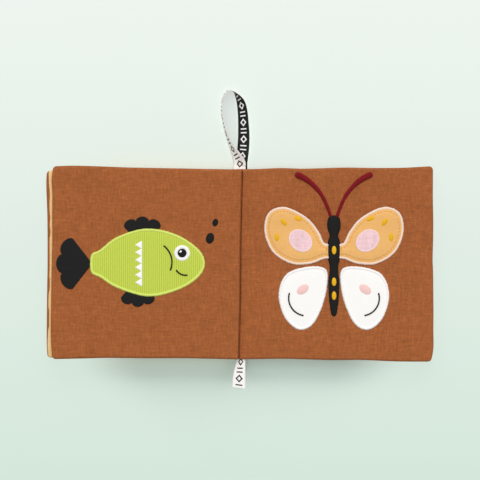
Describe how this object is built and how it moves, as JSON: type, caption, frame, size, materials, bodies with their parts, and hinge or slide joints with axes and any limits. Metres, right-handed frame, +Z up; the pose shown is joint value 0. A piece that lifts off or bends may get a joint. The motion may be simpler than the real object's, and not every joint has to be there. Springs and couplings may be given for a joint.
{
  "type": "crinkle cloth book",
  "caption": "Soft square cloth book lying open, with padded crinkle leaves, sewn-on fish and butterfly motifs, a tape hanging loop and a tape tag at the spine.",
  "frame": {"origin": "middle of the spine cloth's underside, on the table under the open book", "axes": "+X across the open spread from the left page to the right page, +Y along the spine towards the hanging loop, +Z up from the table through the pages"},
  "size_m": [0.3208, 0.248, 0.0133],
  "materials": {
    "brown_cloth": "plain woven cotton and linen, matte",
    "tan_cloth": "plain woven cotton, matte",
    "white_wadding": "soft polyester wadding",
    "clear_film": "thin crinkle film",
    "brown_thread": "sewing thread",
    "woven_tape": "woven tape, white outside and black inside",
    "lime_rib": "ribbed cloth",
    "green_satin": "satin stitch",
    "black_felt": "felt",
    "black_satin": "satin stitch",
    "white_satin": "satin stitch",
    "white_cloth": "brushed cotton",
    "orange_cloth": "brushed cotton",
    "pink_satin": "satin stitch",
    "pink_cloth": "brushed cotton",
    "mustard_satin": "satin stitch",
    "red_cloth": "brushed cotton, padded"
  },
  "bodies": {
    "base": {"back_cover_outer_cloth": "brown_cloth", "back_cover_inner_cloth": "brown_cloth", "back_cover_wadding": "white_wadding", "back_cover_crinkle_film": "clear_film", "spine_cloth": "brown_cloth", "spine_seam_thread": "brown_thread", "loop_tape_ends": "woven_tape", "tag_tape_ends": "woven_tape", "lower_wing_left": "white_cloth", "lower_wing_left_border": "white_satin", "lower_wing_left_oval": "pink_satin", "lower_wing_left_line": "black_satin", "lower_wing_right": "white_cloth", "lower_wing_right_border": "white_satin", "lower_wing_right_oval": "pink_satin", "lower_wing_right_line": "black_satin", "butterfly_body": "black_satin", "body_seed_1": "mustard_satin", "body_seed_2": "mustard_satin", "body_seed_3": "mustard_satin", "antenna_left": "red_cloth", "antenna_right": "red_cloth"},
    "front_cover": {"front_cover_outer_cloth": "brown_cloth", "front_cover_inner_cloth": "tan_cloth", "front_cover_wadding": "white_wadding", "front_cover_crinkle_film": "clear_film"},
    "middle_leaf": {"middle_leaf_lower_cloth": "tan_cloth", "middle_leaf_upper_cloth": "brown_cloth", "middle_leaf_wadding": "white_wadding", "middle_leaf_crinkle_film": "clear_film", "fish_body": "lime_rib", "fish_border": "green_satin", "fish_tail": "black_felt", "fish_back_fin": "black_felt", "fish_belly_fin": "black_felt", "fish_eye": "white_satin", "fish_pupil": "black_satin", "fish_gill_line": "black_satin", "fish_mouth_line": "black_satin", "fish_triangles": "white_satin", "bubble_large": "black_satin", "bubble_small": "black_satin"},
    "left_wing": {"upper_wing_left": "orange_cloth", "upper_wing_left_border": "pink_satin", "upper_wing_left_patch": "pink_cloth", "wing_seed_left_1": "mustard_satin", "wing_seed_left_2": "mustard_satin", "wing_seed_left_3": "mustard_satin"},
    "right_wing": {"upper_wing_right": "orange_cloth", "upper_wing_right_border": "pink_satin", "upper_wing_right_patch": "pink_cloth", "wing_seed_right_1": "mustard_satin", "wing_seed_right_2": "mustard_satin", "wing_seed_right_3": "mustard_satin"},
    "hanging_loop": {"hanging_loop": "woven_tape"},
    "tag": {"tag": "woven_tape"}
  },
  "joints": [
    {"name": "front_cover_turn", "type": "hinge", "parent": "base", "child": "front_cover", "pos_m": [0, 0, 0.0112], "axis": [0, 1, 0], "range_deg": [0, 180]},
    {"name": "middle_leaf_turn", "type": "hinge", "parent": "front_cover", "child": "middle_leaf", "pos_m": [0, 0, 0.0112], "axis": [0, 1, 0], "range_deg": [0, 180]},
    {"name": "left_wing_lift", "type": "hinge", "parent": "base", "child": "left_wing", "pos_m": [0.0702, 0, 0.0057], "axis": [0, -1, 0], "range_deg": [-85, 0]},
    {"name": "right_wing_lift", "type": "hinge", "parent": "base", "child": "right_wing", "pos_m": [0.0858, 0, 0.0057], "axis": [0, 1, 0], "range_deg": [-85, 0]},
    {"name": "hanging_loop_lift", "type": "hinge", "parent": "base", "child": "hanging_loop", "pos_m": [0, 0.0806, 0.00133], "axis": [1, 0, 0], "range_deg": [0, 60]},
    {"name": "tag_lift", "type": "hinge", "parent": "base", "child": "tag", "pos_m": [0, -0.0806, 0.00133], "axis": [-1, 0, 0], "range_deg": [0, 80]}
  ]
}
